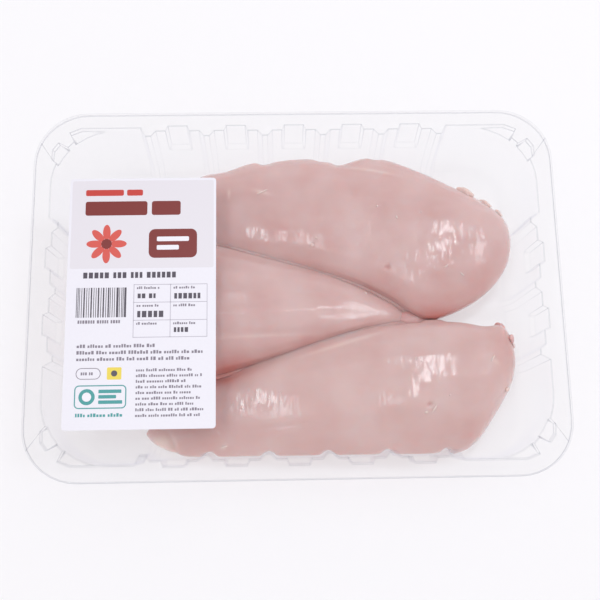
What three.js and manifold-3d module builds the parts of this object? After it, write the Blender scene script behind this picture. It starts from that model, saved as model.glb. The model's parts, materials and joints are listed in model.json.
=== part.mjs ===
// A sealed retail pack of raw chicken breasts: a clear ribbed tray with a wide sealing
// flange, a taut lid film, a label stuck on the film, and three breasts that lie head to
// tail inside. Millimetres, +Z up. The origin is the middle of the tray's base,
// +X runs along the tray's long side and +Y points to the side with the back breast.

import * as THREE from 'three';
import { mergeVertices } from 'three/addons/utils/BufferGeometryUtils.js';
import Module from 'manifold-3d';

const wasm = await Module();
wasm.setup();

// Tray, outside sizes
const TRAY_HEIGHT = 44;
const FLANGE_HALF_X = 132.5;
const FLANGE_HALF_Y = 94;
const FLANGE_RADIUS = 27;
const LIP_DROP = 3;
const SKIN = 0.6;

// Tray wall, measured on its inner face at the flange
const WALL_HALF_X = 123.4;
const WALL_HALF_Y = 85.5;
const WALL_RADIUS = 31;
const WALL_DRAFT = 4.5;
const RADIUS_DRAFT = 7;
const FILLET_START = 8;
const FILLET_MIDDLE = 3;
const FILLET_REACH = 5;
const FILLET_POWER = 2.2;

// Ribs and pockets of the wall
const PANEL_INSET = 1.8;
const RIB_INSET = 4.6;
const RIB_FOOT = 4;
const RIB_CREST = 1.5;
const POCKET_OUTSET = 0.9;
const POCKET_FOOT = 6;
const POCKET_BACK = 4.8;
const POCKET_DEPTH = 19;
const LEDGE_FALL = 1.4;
const LONG_PITCH = 30;
const LONG_POCKETS = 5;
const SHORT_PITCH = 34;
const SHORT_POCKETS = 2;

// Shallow steps beside each corner, as angles from the long side
const STEP_DEPTH = 2.8;
const STEP_FALL = 0.6;
const STEP_REACH = 5.4;
const LONG_STEP_END = 38;
const SHORT_STEP_START = 50;
const SHORT_STEP_END = 65;
const STEP_EDGE = 2;

// Lid film and label
const SEAL_GAP = 0.1;
const FILM_THICKNESS = 0.2;
const FILM_MARGIN = 0.6;
const LABEL_WIDTH = 73.5;
const LABEL_LENGTH = 127;
const LABEL_CENTRE = [-76.7, -5.5];
const LABEL_RADIUS = 1.6;
const LABEL_THICKNESS = 0.15;
const FILM_ARC_STEPS = 8;
const LABEL_ARC_STEPS = 3;

// Breasts
const CLEARANCE = 0.3;
const STATIONS = 40;
const SECTION_POINTS = 20;

const DEGREE = Math.PI / 180;

// One stretch of a straight side, from its middle outwards: ribs and pockets by turns.
// Each mark is a place along the side with the feature that it belongs to.
function sideMarks(pockets, pitch, skin) {
  const marks = [];
  const first = -pockets / 2;
  for (let i = 0; i <= pockets; i += 1) {
    const rib = (first + i) * pitch;
    const crest = RIB_CREST - skin / 2;
    const foot = RIB_FOOT - skin / 2;
    marks.push({ along: rib - foot, feature: i === 0 ? 'corner' : 'panel' });
    marks.push({ along: rib - crest, feature: 'rib' });
    marks.push({ along: rib + crest, feature: 'rib' });
    marks.push({ along: rib + foot, feature: i === pockets ? 'corner' : 'panel' });
    if (i < pockets) {
      const pocket = rib + pitch / 2;
      const back = POCKET_BACK + skin / 2;
      const side = POCKET_FOOT + skin / 2;
      marks.push({ along: pocket - side, feature: 'panel' });
      marks.push({ along: pocket - back, feature: 'pocket' });
      marks.push({ along: pocket + back, feature: 'pocket' });
      marks.push({ along: pocket + side, feature: 'panel' });
    }
  }
  return marks;
}

// Angles of a corner from the long side round to the short one, with the two steps. The
// plain angles between them keep the arc round.
function cornerMarks() {
  const marks = [0, 9, 18, 28].map((angle) => ({ angle, step: angle > 0 }));
  marks.push({ angle: LONG_STEP_END, step: true });
  marks.push({ angle: LONG_STEP_END + STEP_EDGE, step: false });
  marks.push({ angle: SHORT_STEP_START - STEP_EDGE, step: false });
  marks.push({ angle: SHORT_STEP_START, step: true });
  marks.push({ angle: (SHORT_STEP_START + SHORT_STEP_END) / 2, step: true });
  marks.push({ angle: SHORT_STEP_END, step: true });
  marks.push({ angle: SHORT_STEP_END + STEP_EDGE, step: false });
  [74, 82, 90].forEach((angle) => marks.push({ angle, step: false }));
  return marks;
}

const INSETS = { corner: 0, panel: -PANEL_INSET, rib: -RIB_INSET };

// How far a straight side's mark stands out from the plain rounded rectangle.
function sideOffset(feature, shape) {
  if (!shape.ribs) return 0;
  if (feature === 'pocket') return shape.pockets ? POCKET_OUTSET : -PANEL_INSET;
  return INSETS[feature];
}

// A step reaches out to the line that the nearer side would follow without its arc.
function cornerOffset(mark, shape) {
  if (!shape.steps || !mark.step) return 0;
  const turn = Math.min(mark.angle, 90 - mark.angle) * DEGREE;
  const toLine = shape.radius * (1 / Math.cos(turn) - 1);
  return Math.min(toLine, STEP_REACH);
}

// A closed ring of points round the tray at one height, anticlockwise from the right
// end of the far side. Every ring has the same marks, so neighbours join quad by quad.
function ring(shape) {
  const points = [];
  const centreX = shape.halfX - shape.radius;
  const centreY = shape.halfY - shape.radius;
  const skin = shape.skin ?? 0;
  const quarters = [
    { turn: 90, pockets: LONG_POCKETS, pitch: LONG_PITCH, reach: shape.halfY, cx: -1, cy: 1 },
    { turn: 180, pockets: SHORT_POCKETS, pitch: SHORT_PITCH, reach: shape.halfX, cx: -1, cy: -1 },
    { turn: 270, pockets: LONG_POCKETS, pitch: LONG_PITCH, reach: shape.halfY, cx: 1, cy: -1 },
    { turn: 360, pockets: SHORT_POCKETS, pitch: SHORT_PITCH, reach: shape.halfX, cx: 1, cy: 1 },
  ];
  for (const quarter of quarters) {
    const facing = quarter.turn * DEGREE;
    for (const mark of sideMarks(quarter.pockets, quarter.pitch, skin)) {
      const out = quarter.reach + sideOffset(mark.feature, shape);
      const x = out * Math.cos(facing) - mark.along * Math.sin(facing);
      const y = out * Math.sin(facing) + mark.along * Math.cos(facing);
      points.push([x, y, shape.z]);
    }
    const longSide = quarter.turn % 180 === 90;
    const corner = longSide ? cornerMarks() : cornerMarks().reverse();
    for (const mark of corner) {
      const turn = (longSide ? mark.angle : 90 - mark.angle) * DEGREE + facing;
      const reach = shape.radius + cornerOffset(mark, shape);
      const x = quarter.cx * centreX + reach * Math.cos(turn);
      const y = quarter.cy * centreY + reach * Math.sin(turn);
      points.push([x, y, shape.z]);
    }
  }
  return points;
}

// The wall's size at a height, by its draft and the fillet round the floor.
function wallShape(z, options = {}) {
  const depth = (TRAY_HEIGHT - z) / TRAY_HEIGHT;
  const low = Math.max(0, (FILLET_START - z) / FILLET_START);
  const fillet = FILLET_REACH * low ** FILLET_POWER;
  const inset = WALL_DRAFT * depth + fillet + (options.inset ?? 0);
  const skin = options.skin ?? 0;
  return {
    z: z + (options.lift ?? 0),
    halfX: WALL_HALF_X - inset + skin,
    halfY: WALL_HALF_Y - inset + skin,
    radius: WALL_RADIUS - RADIUS_DRAFT * depth - (options.inset ?? 0) + skin,
    ribs: true,
    skin,
    ...options.features,
  };
}

// The wall's rings from the flange down to the floor.
function wallRings(options) {
  const ledge = TRAY_HEIGHT - POCKET_DEPTH;
  const step = TRAY_HEIGHT - STEP_DEPTH;
  const all = { pockets: true, steps: true };
  const pockets = { pockets: true, steps: false };
  const plain = { pockets: false, steps: false };
  const floor = SKIN;
  const levels = [
    [TRAY_HEIGHT, all, options.topLift ?? 0],
    [step, all, options.ledgeLift ?? 0],
    [step - STEP_FALL, pockets, options.ledgeLift ?? 0],
    [ledge, pockets, options.ledgeLift ?? 0],
    [ledge - LEDGE_FALL, plain, options.ledgeLift ?? 0],
    [FILLET_START, plain, 0],
    [FILLET_MIDDLE, plain, options.filletLift ?? 0],
    [floor, plain, options.floorLift ?? 0],
  ];
  return levels.map(([z, features, lift]) => ring(wallShape(z, { ...options, features, lift })));
}

// Rings to one closed body: strips between neighbours, fans on the first and last ring.
function loftRings(rings) {
  const positions = rings.flat();
  const count = rings[0].length;
  const faces = [];
  for (let i = 0; i < rings.length - 1; i += 1) {
    const upper = i * count;
    const lower = upper + count;
    for (let j = 0; j < count; j += 1) {
      const next = (j + 1) % count;
      faces.push([upper + j, lower + j, lower + next]);
      faces.push([upper + j, lower + next, upper + next]);
    }
  }
  capRing(positions, faces, 0, count, 1);
  capRing(positions, faces, (rings.length - 1) * count, count, -1);
  return toSolid(positions, faces);
}

// A fan over one ring, about the mean of its points.
function capRing(positions, faces, start, count, side) {
  const middle = [0, 0, 0];
  for (let j = 0; j < count; j += 1) {
    for (let k = 0; k < 3; k += 1) middle[k] += positions[start + j][k] / count;
  }
  const hub = positions.push(middle) - 1;
  for (let j = 0; j < count; j += 1) {
    const here = start + j;
    const next = start + ((j + 1) % count);
    faces.push(side > 0 ? [hub, here, next] : [hub, next, here]);
  }
}

// Points and faces to a solid, turned outside out if its faces point inwards.
function toSolid(positions, faces) {
  let volume = 0;
  for (const [a, b, c] of faces) {
    const corner = new THREE.Vector3(...positions[a]);
    const cross = new THREE.Vector3(...positions[b]).cross(new THREE.Vector3(...positions[c]));
    volume += corner.dot(cross) / 6;
  }
  const ordered = volume < 0 ? faces.map(([a, b, c]) => [a, c, b]) : faces;
  const geometry = new THREE.BufferGeometry();
  geometry.setAttribute('position', new THREE.Float32BufferAttribute(positions.flat(), 3));
  geometry.setIndex(ordered.flat());
  return toManifold(geometry);
}

function toManifold(geometry) {
  const bare = geometry.clone();
  bare.deleteAttribute('normal');
  bare.deleteAttribute('uv');
  const merged = mergeVertices(bare, 1e-4);
  return new wasm.Manifold(new wasm.Mesh({
    numProp: 3,
    vertProperties: new Float32Array(merged.attributes.position.array),
    triVerts: new Uint32Array(merged.index.array),
  }));
}

function toGeometry(solid) {
  const mesh = solid.getMesh();
  const geometry = new THREE.BufferGeometry();
  geometry.setAttribute('position', new THREE.BufferAttribute(mesh.vertProperties, 3));
  geometry.setIndex(new THREE.BufferAttribute(mesh.triVerts, 1));
  geometry.computeVertexNormals();
  return geometry;
}

// The largest piece of a cut solid, without the scraps that a cut can leave.
function mainPiece(solid) {
  const pieces = solid.decompose();
  return pieces.reduce((best, piece) => (piece.volume() > best.volume() ? piece : best));
}

// The clear tray: up the inner face, over the flange and its lip, down the outer face.
function traySolid() {
  const edge = (z, inset) => ring({
    z,
    halfX: FLANGE_HALF_X - inset,
    halfY: FLANGE_HALF_Y - inset,
    radius: FLANGE_RADIUS - inset,
  });
  const inner = wallRings({});
  const outer = wallRings({
    skin: SKIN, topLift: -SKIN, ledgeLift: -SKIN, filletLift: -SKIN / 2, floorLift: -SKIN,
  });
  const lipFoot = TRAY_HEIGHT - LIP_DROP;
  const flange = [
    edge(TRAY_HEIGHT, 0),
    edge(lipFoot, 0),
    edge(lipFoot, SKIN),
    edge(TRAY_HEIGHT - SKIN, SKIN),
  ];
  return loftRings([...inner.reverse(), ...flange, ...outer]);
}

// The room inside the tray, less a clearance, which the meat is fitted to.
function cavitySolid() {
  return loftRings(wallRings({
    inset: CLEARANCE, ledgeLift: CLEARANCE, filletLift: CLEARANCE, floorLift: CLEARANCE,
  }));
}

// A rounded sheet lying flat, from its outline's half sizes and its lower face's height.
function roundedSheet(halfX, halfY, radius, thickness, z, arcSteps) {
  const outline = new THREE.Shape();
  outline.moveTo(halfX - radius, -halfY);
  outline.absarc(halfX - radius, -halfY + radius, radius, -Math.PI / 2, 0);
  outline.absarc(halfX - radius, halfY - radius, radius, 0, Math.PI / 2);
  outline.absarc(-halfX + radius, halfY - radius, radius, Math.PI / 2, Math.PI);
  outline.absarc(-halfX + radius, -halfY + radius, radius, Math.PI, Math.PI * 1.5);
  const options = { depth: thickness, bevelEnabled: false, curveSegments: arcSteps };
  const geometry = new THREE.ExtrudeGeometry(outline, options);
  geometry.translate(0, 0, z);
  return geometry;
}

// Each breast is a loft between two rails, from its left end to its right one. The rails
// are its far and near outlines in plan, the crown is its height along the way, the edges
// say how high the outline's widest level lies on either side, and the lean moves the
// crest towards the near side, as a share of the half width.
const BACK_BREAST = {
  far: [[-72, 52], [-62, 67], [-42, 73], [-18, 79], [7, 82], [26, 78.5], [43, 82],
    [64, 75], [83, 65], [100, 55], [112, 45], [117, 33]],
  near: [[-72, 52], [-66, 37], [-43, 29], [-18, 23], [9, 17], [32, 9], [51, -1],
    [67, -12], [84, -8], [100, 2], [112, 17], [117, 33]],
  crown: [4, 12, 19.5, 23, 25.5, 27.5, 29, 30.5, 31.5, 30, 23.5, 10],
  farEdge: 0.34,
  nearEdge: 0.6,
  lean: 0.1,
};
const FRONT_BREAST = {
  far: [[-79, -67], [-66, -54], [-42, -40], [-15, -31], [12, -22], [41, -15.5], [63, -13],
    [84, -13.5], [97, -16], [107, -15], [114, -23], [115, -34]],
  near: [[-79, -67], [-72, -74], [-52, -81], [-25, -83], [3, -84], [30, -84], [55, -84],
    [74, -82], [89, -77], [101, -62], [111, -46], [115, -34]],
  crown: [5, 12, 19.5, 23.5, 26.5, 28.5, 30, 31, 31, 27.5, 20.5, 10],
  farEdge: 0.56,
  nearEdge: 0.42,
  lean: -0.1,
};
const MIDDLE_BREAST = {
  far: [[-114, -6], [-111, 18], [-97, 33], [-72, 37], [-42, 33], [-15, 26], [12, 19],
    [34, 10], [53, 1], [68, -10]],
  near: [[-114, -6], [-111, -28], [-98, -38], [-72, -42], [-44, -39.5], [-17, -32],
    [11, -24], [35, -18], [55, -16], [68, -10]],
  crown: [8, 25, 34, 37, 36.5, 33, 28, 23.5, 17, 9],
  farEdge: 0.3,
  nearEdge: 0.26,
  lean: 0.22,
};
const TOP_FULLNESS = 2.2;
const SIDE_FULLNESS = 2.3;
const BELLY_FULLNESS = 2.7;

function rail(points) {
  return new THREE.SplineCurve(points.map(([x, y]) => new THREE.Vector2(x, y)));
}

// One cross-section of a breast: a dome over a flat belly, between the two rails.
function breastSection(shape, rails, place, grow) {
  const far = rails.far.getPoint(place);
  const near = rails.near.getPoint(place);
  const middle = far.clone().add(near).multiplyScalar(0.5);
  const half = far.clone().sub(near).multiplyScalar(0.5);
  const width = half.length() + grow;
  const across = half.normalize();
  const floor = SKIN + CLEARANCE - grow;
  const crown = rails.crown.getPoint(place).y + grow;
  const points = [];
  for (let j = 0; j < SECTION_POINTS; j += 1) {
    const turn = (2 * Math.PI * j) / SECTION_POINTS;
    const c = Math.cos(turn);
    const s = Math.sin(turn);
    const side = Math.sign(c) * Math.abs(c) ** (2 / SIDE_FULLNESS);
    const share = THREE.MathUtils.lerp(shape.nearEdge, shape.farEdge, (side + 1) / 2);
    const edge = floor + (crown - floor) * share;
    const rise = s > 0
      ? (crown - edge) * s ** (2 / TOP_FULLNESS)
      : -(edge - floor) * (-s) ** (2 / BELLY_FULLNESS);
    const reach = width * (side - shape.lean * Math.max(0, s));
    const x = middle.x + across.x * reach;
    const y = middle.y + across.y * reach;
    points.push([x, y, edge + rise]);
  }
  return points;
}

// Stations lie closer together towards both ends, where the outline turns.
function breastSolid(shape, grow = 0) {
  const crown = shape.crown.map((height, i) => [i, height]);
  const rails = { far: rail(shape.far), near: rail(shape.near), crown: rail(crown) };
  const rings = [];
  for (let i = 0; i < STATIONS; i += 1) {
    const step = (i + 0.5) / STATIONS;
    const place = (1 - Math.cos(Math.PI * step)) / 2;
    rings.push(breastSection(shape, rails, place, grow));
  }
  return loftRings(rings);
}

function material(color, roughness, options = {}) {
  return new THREE.MeshStandardMaterial({ color, roughness, metalness: 0, ...options });
}

const clearPlastic = material(0xe9eef0, 0.08, { transparent: true, opacity: 0.3 });
const clearFilm = material(0xf4f7f8, 0.06, { transparent: true, opacity: 0.12 });
const labelPaper = material(0xefecf3, 0.55);
const rawMeat = material(0xd9b8b4, 0.32);

function part(name, geometry, finish) {
  const mesh = new THREE.Mesh(geometry, finish);
  mesh.name = name;
  return mesh;
}

const cavity = cavitySolid();
const middle = breastSolid(MIDDLE_BREAST).intersect(cavity);
const middleRoom = breastSolid(MIDDLE_BREAST, CLEARANCE);
const back = breastSolid(BACK_BREAST).intersect(cavity).subtract(middleRoom);
const backRoom = breastSolid(BACK_BREAST, CLEARANCE);
const front = breastSolid(FRONT_BREAST).intersect(cavity).subtract(middleRoom).subtract(backRoom);

const filmBase = TRAY_HEIGHT + SEAL_GAP;
const labelBase = filmBase + FILM_THICKNESS + SEAL_GAP;
const film = roundedSheet(
  FLANGE_HALF_X - FILM_MARGIN,
  FLANGE_HALF_Y - FILM_MARGIN,
  FLANGE_RADIUS - FILM_MARGIN,
  FILM_THICKNESS,
  filmBase,
  FILM_ARC_STEPS,
);
const label = roundedSheet(
  LABEL_WIDTH / 2,
  LABEL_LENGTH / 2,
  LABEL_RADIUS,
  LABEL_THICKNESS,
  labelBase,
  LABEL_ARC_STEPS,
);
label.translate(LABEL_CENTRE[0], LABEL_CENTRE[1], 0);

const group = new THREE.Group();
group.add(
  part('tray', toGeometry(traySolid()), clearPlastic),
  part('breast_middle', toGeometry(mainPiece(middle)), rawMeat),
  part('breast_back', toGeometry(mainPiece(back)), rawMeat),
  part('breast_front', toGeometry(mainPiece(front)), rawMeat),
  part('lid_film', film, clearFilm),
  part('label', label, labelPaper),
);

export default group;
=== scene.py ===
"""A sealed retail tray of raw chicken breasts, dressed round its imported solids.

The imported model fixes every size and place. The tray is remade with soft formed edges, the
lid film is kept as it is, the label gets its print, and the three breasts are remeshed,
sculpted and given wet translucent flesh. The label's print is plain bars, fields of colour
and simple shapes. Lengths are metres, and a size in millimetres is multiplied by MM.
"""

from __future__ import annotations

import json
import logging
import math
import random
from dataclasses import dataclass, field
from enum import Enum
from typing import Any, Callable, Sequence

import bpy
import numpy as np
from mathutils import Matrix, Vector
from mathutils.bvhtree import BVHTree

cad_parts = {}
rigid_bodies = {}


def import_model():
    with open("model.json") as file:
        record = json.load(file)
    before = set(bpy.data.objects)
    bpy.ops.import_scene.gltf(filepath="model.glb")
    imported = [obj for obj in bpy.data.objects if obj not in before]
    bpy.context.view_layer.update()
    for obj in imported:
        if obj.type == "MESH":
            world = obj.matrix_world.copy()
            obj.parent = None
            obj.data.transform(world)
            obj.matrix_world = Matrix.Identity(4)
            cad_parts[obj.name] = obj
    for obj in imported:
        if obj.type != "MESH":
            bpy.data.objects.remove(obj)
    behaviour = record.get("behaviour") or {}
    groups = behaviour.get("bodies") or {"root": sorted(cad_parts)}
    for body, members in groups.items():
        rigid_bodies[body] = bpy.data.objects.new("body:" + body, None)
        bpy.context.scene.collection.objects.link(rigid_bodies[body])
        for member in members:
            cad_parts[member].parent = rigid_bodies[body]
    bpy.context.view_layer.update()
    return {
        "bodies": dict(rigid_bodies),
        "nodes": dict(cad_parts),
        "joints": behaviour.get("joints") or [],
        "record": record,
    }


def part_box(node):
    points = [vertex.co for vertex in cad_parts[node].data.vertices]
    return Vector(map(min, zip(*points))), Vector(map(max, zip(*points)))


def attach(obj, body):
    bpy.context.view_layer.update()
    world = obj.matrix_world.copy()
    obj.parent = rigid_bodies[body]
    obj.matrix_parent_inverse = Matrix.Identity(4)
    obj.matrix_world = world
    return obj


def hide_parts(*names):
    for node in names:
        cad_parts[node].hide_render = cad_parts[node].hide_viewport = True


LOG = logging.getLogger("chicken_tray")
MM = 0.001
BODY = "root"

MERGE_GAP = 0.002
DROP_HEIGHT = 60.0
STAIN_AND_LIGHT_START = -0.5
FRESNEL_POWER = 5.0

PHOTO_WIDTH = 600
FOCAL_PIXELS = 971.3
SENSOR_WIDTH = 36.0
CAMERA_PLACE = (-9.5, -118.7, 510.5)
CAMERA_PITCH = 13.53
CAMERA_YAW = -1.35
CAMERA_ROLL = -1.08

Colour = tuple[float, float, float, float]


def linear(code: str) -> Colour:
    """Turn an sRGB hex colour to linear light.

    Args:
        code: Six hex digits, with or without a leading mark.

    Returns:
        The colour's linear red, green, blue and a full alpha.
    """
    digits = code.lstrip("#")
    shares = [int(digits[i : i + 2], 16) / 255 for i in (0, 2, 4)]
    light = [c / 12.92 if c <= 0.04045 else ((c + 0.055) / 1.055) ** 2.4 for c in shares]
    return (light[0], light[1], light[2], 1.0)


def add_node(
    tree: bpy.types.NodeTree,
    kind: str,
    settings: dict[str, Any] | None = None,
    inputs: dict[str | int, Any] | None = None,
) -> bpy.types.Node:
    """Add a shader node with its settings, values and links.

    Args:
        tree: The node tree that the node goes into.
        kind: The node's type name.
        settings: Properties of the node itself.
        inputs: Values for its sockets, or sockets of other nodes to link from.

    Returns:
        The new node.
    """
    node = tree.nodes.new(kind)
    for name, value in (settings or {}).items():
        setattr(node, name, value)
    for name, value in (inputs or {}).items():
        if isinstance(value, bpy.types.NodeSocket):
            tree.links.new(value, node.inputs[name])
        else:
            node.inputs[name].default_value = value
    return node


def new_material(name: str) -> tuple[bpy.types.Material, bpy.types.NodeTree]:
    """Make a material with an empty node tree.

    Args:
        name: The material's name.

    Returns:
        The material and its node tree.
    """
    material = bpy.data.materials.new(name)
    material.use_nodes = True
    material.node_tree.nodes.clear()
    return material, material.node_tree


def new_object(name: str, data: Any = None) -> bpy.types.Object:
    """Put a new object with this data, or an empty one, into the scene."""
    item = bpy.data.objects.new(name, data)
    bpy.context.scene.collection.objects.link(item)
    return item


def activate(piece: bpy.types.Object) -> None:
    """Select one object alone and make it the active one."""
    bpy.ops.object.select_all(action="DESELECT")
    piece.select_set(True)
    bpy.context.view_layer.objects.active = piece


def shade_smooth(piece: bpy.types.Object) -> None:
    """Shade a piece smoothly all over."""
    activate(piece)
    bpy.ops.object.shade_smooth()


def in_edit_mode(
    piece: bpy.types.Object,
    work: Callable[[], None],
    edges: Callable[[bpy.types.MeshEdge], bool] | None = None,
    faces: Callable[[bpy.types.MeshPolygon], bool] | None = None,
) -> None:
    """Run operators in edit mode on all of a piece's mesh, or on chosen edges or faces.

    Args:
        piece: The piece to edit.
        work: The operators to run.
        edges: The test that chooses edges, if only some are wanted.
        faces: The test that chooses faces, if only some are wanted.
    """
    activate(piece)
    chosen = edges is not None or faces is not None
    tools = bpy.context.tool_settings
    tools.mesh_select_mode = (not chosen, edges is not None, faces is not None)
    bpy.ops.object.mode_set(mode="EDIT")
    bpy.ops.mesh.select_all(action="DESELECT" if chosen else "SELECT")
    if chosen:
        bpy.ops.object.mode_set(mode="OBJECT")
        for edge in piece.data.edges if edges else ():
            edge.select = edges(edge)
        for face in piece.data.polygons if faces else ():
            face.select = faces(face)
        bpy.ops.object.mode_set(mode="EDIT")
    work()
    bpy.ops.object.mode_set(mode="OBJECT")


def apply_modifier(piece: bpy.types.Object, kind: str, **settings: Any) -> None:
    """Add a modifier to a piece, set it up and apply it.

    Args:
        piece: The piece that takes the modifier.
        kind: The modifier's type name.
        **settings: Properties of the modifier.
    """
    activate(piece)
    modifier = piece.modifiers.new(kind.lower(), kind)
    for name, value in settings.items():
        setattr(modifier, name, value)
    bpy.ops.object.modifier_apply(modifier=modifier.name)


def copy_of_node(node: bpy.types.Object, name: str) -> bpy.types.Object:
    """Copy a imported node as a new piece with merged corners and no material.

    Args:
        node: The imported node, which stays unchanged.
        name: The new piece's name.

    Returns:
        The new piece.
    """
    piece = new_object(name, node.data.copy())
    piece.data.materials.clear()

    def merge() -> None:
        """Merge corners that touch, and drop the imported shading."""
        bpy.ops.mesh.remove_doubles(threshold=MERGE_GAP * MM)
        bpy.ops.mesh.customdata_custom_splitnormals_clear()

    in_edit_mode(piece, merge)
    return piece


def join_pieces(parts: Sequence[bpy.types.Object], name: str) -> bpy.types.Object:
    """Join objects to one piece whose place, turn and size are in its mesh.

    Args:
        parts: The objects to join.
        name: The joined piece's name.

    Returns:
        The joined piece.
    """
    activate(parts[0])
    for part in parts:
        part.select_set(True)
    bpy.ops.object.join()
    bpy.ops.object.transform_apply(location=True, rotation=True, scale=True)
    parts[0].name = name
    return parts[0]


def ramp(values: np.ndarray | float, start: float, end: float) -> np.ndarray | float:
    """Ease values from none at the start of a range to one at its end."""
    share = np.clip((values - start) / (end - start), 0.0, 1.0)
    return share * share * (3 - 2 * share)


def corner_places(piece: bpy.types.Object) -> np.ndarray:
    """Read the places of a piece's mesh corners, in mm."""
    flat = np.empty(3 * len(piece.data.vertices))
    piece.data.vertices.foreach_get("co", flat)
    return flat.reshape(-1, 3) / MM


def corner_normals(piece: bpy.types.Object) -> np.ndarray:
    """Read the way that each of a piece's mesh corners faces."""
    flat = np.empty(3 * len(piece.data.vertices))
    piece.data.vertices.foreach_get("normal", flat)
    return flat.reshape(-1, 3)


def move_corners(piece: bpy.types.Object, places: np.ndarray) -> None:
    """Set the places of a piece's mesh corners, in mm."""
    piece.data.vertices.foreach_set("co", (places * MM).ravel())
    piece.data.update()


def distances(piece: bpy.types.Object, node: bpy.types.Object, reach: float) -> np.ndarray:
    """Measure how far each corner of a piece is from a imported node.

    Args:
        piece: The piece.
        node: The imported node.
        reach: The distance in mm past which nothing is looked for.

    Returns:
        The distances in mm, none of them over the reach.
    """
    corners = [vertex.co for vertex in node.data.vertices]
    tree = BVHTree.FromPolygons(corners, [face.vertices for face in node.data.polygons])
    gaps = np.full(len(piece.data.vertices), reach)
    for index, vertex in enumerate(piece.data.vertices):
        gap = tree.find_nearest(vertex.co, reach * MM)[3]
        if gap is not None:
            gaps[index] = gap / MM
    return gaps


def drop_on(piece: bpy.types.Object, x: float, y: float) -> tuple[bool, Vector, Vector]:
    """Find where a straight drop from over the pack lands on a piece.

    Args:
        piece: The piece.
        x: The drop's place along the tray, in mm.
        y: Its place across the tray, in mm.

    Returns:
        Whether it lands on the piece, the place in metres and the way that it faces.
    """
    start = Vector((x, y, DROP_HEIGHT)) * MM
    hit, spot, normal, _ = piece.ray_cast(start, Vector((0, 0, -1)))
    return hit, spot, normal


@dataclass(frozen=True)
class Spot:
    """A soft oval spot seen from above, in mm, with the most that it gives."""

    x: float
    y: float
    along: float
    across: float
    turn: float
    amount: float


def spot_field(places: np.ndarray, spots: Sequence[Spot]) -> np.ndarray:
    """Add up what a set of spots gives at each place.

    Args:
        places: The places in mm.
        spots: The spots.

    Returns:
        One sum for each place.
    """
    total = np.zeros(len(places))
    for spot in spots:
        turn = math.radians(spot.turn)
        east = places[:, 0] - spot.x
        north = places[:, 1] - spot.y
        along = (east * math.cos(turn) + north * math.sin(turn)) / spot.along
        across = (north * math.cos(turn) - east * math.sin(turn)) / spot.across
        total += spot.amount * np.exp(-(along**2) - across**2)
    return total


def write_shares(piece: bpy.types.Object, name: str, shares: np.ndarray) -> None:
    """Write one share for each of a piece's mesh corners as a named attribute."""
    attribute = piece.data.attributes.new(name, "FLOAT", "POINT")
    attribute.data.foreach_set("value", shares.astype(np.float32))


def paint_stains_and_light(piece: bpy.types.Object, stains_and_light: dict[str, Sequence[Spot]]) -> None:
    """Write how much red staining and painted shade, cream fatty tissue and painted light, and
    dryness the upper corners of a piece have.

    Args:
        piece: The piece.
        stains_and_light: The spots of each kind.
    """
    places = corner_places(piece)
    upper = ramp(corner_normals(piece)[:, 2], STAIN_AND_LIGHT_START, 0.0)
    for name, spots in stains_and_light.items():
        write_shares(piece, name, np.clip(spot_field(places, spots) * upper, 0.0, 1.0))


def dress(piece: bpy.types.Object, material: bpy.types.Material) -> None:
    """Give a piece one material in place of any that it has."""
    piece.data.materials.clear()
    piece.data.materials.append(material)


def finish_piece(
    piece: bpy.types.Object, material: bpy.types.Material, nodes: Sequence[str] = ()
) -> None:
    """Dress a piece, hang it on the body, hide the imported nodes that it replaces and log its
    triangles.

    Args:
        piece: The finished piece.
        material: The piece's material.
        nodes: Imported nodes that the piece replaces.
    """
    dress(piece, material)
    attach(piece, BODY)
    if nodes:
        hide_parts(*nodes)
    piece.data.calc_loop_triangles()
    LOG.info("%s: %d triangles", piece.name, len(piece.data.loop_triangles))


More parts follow.
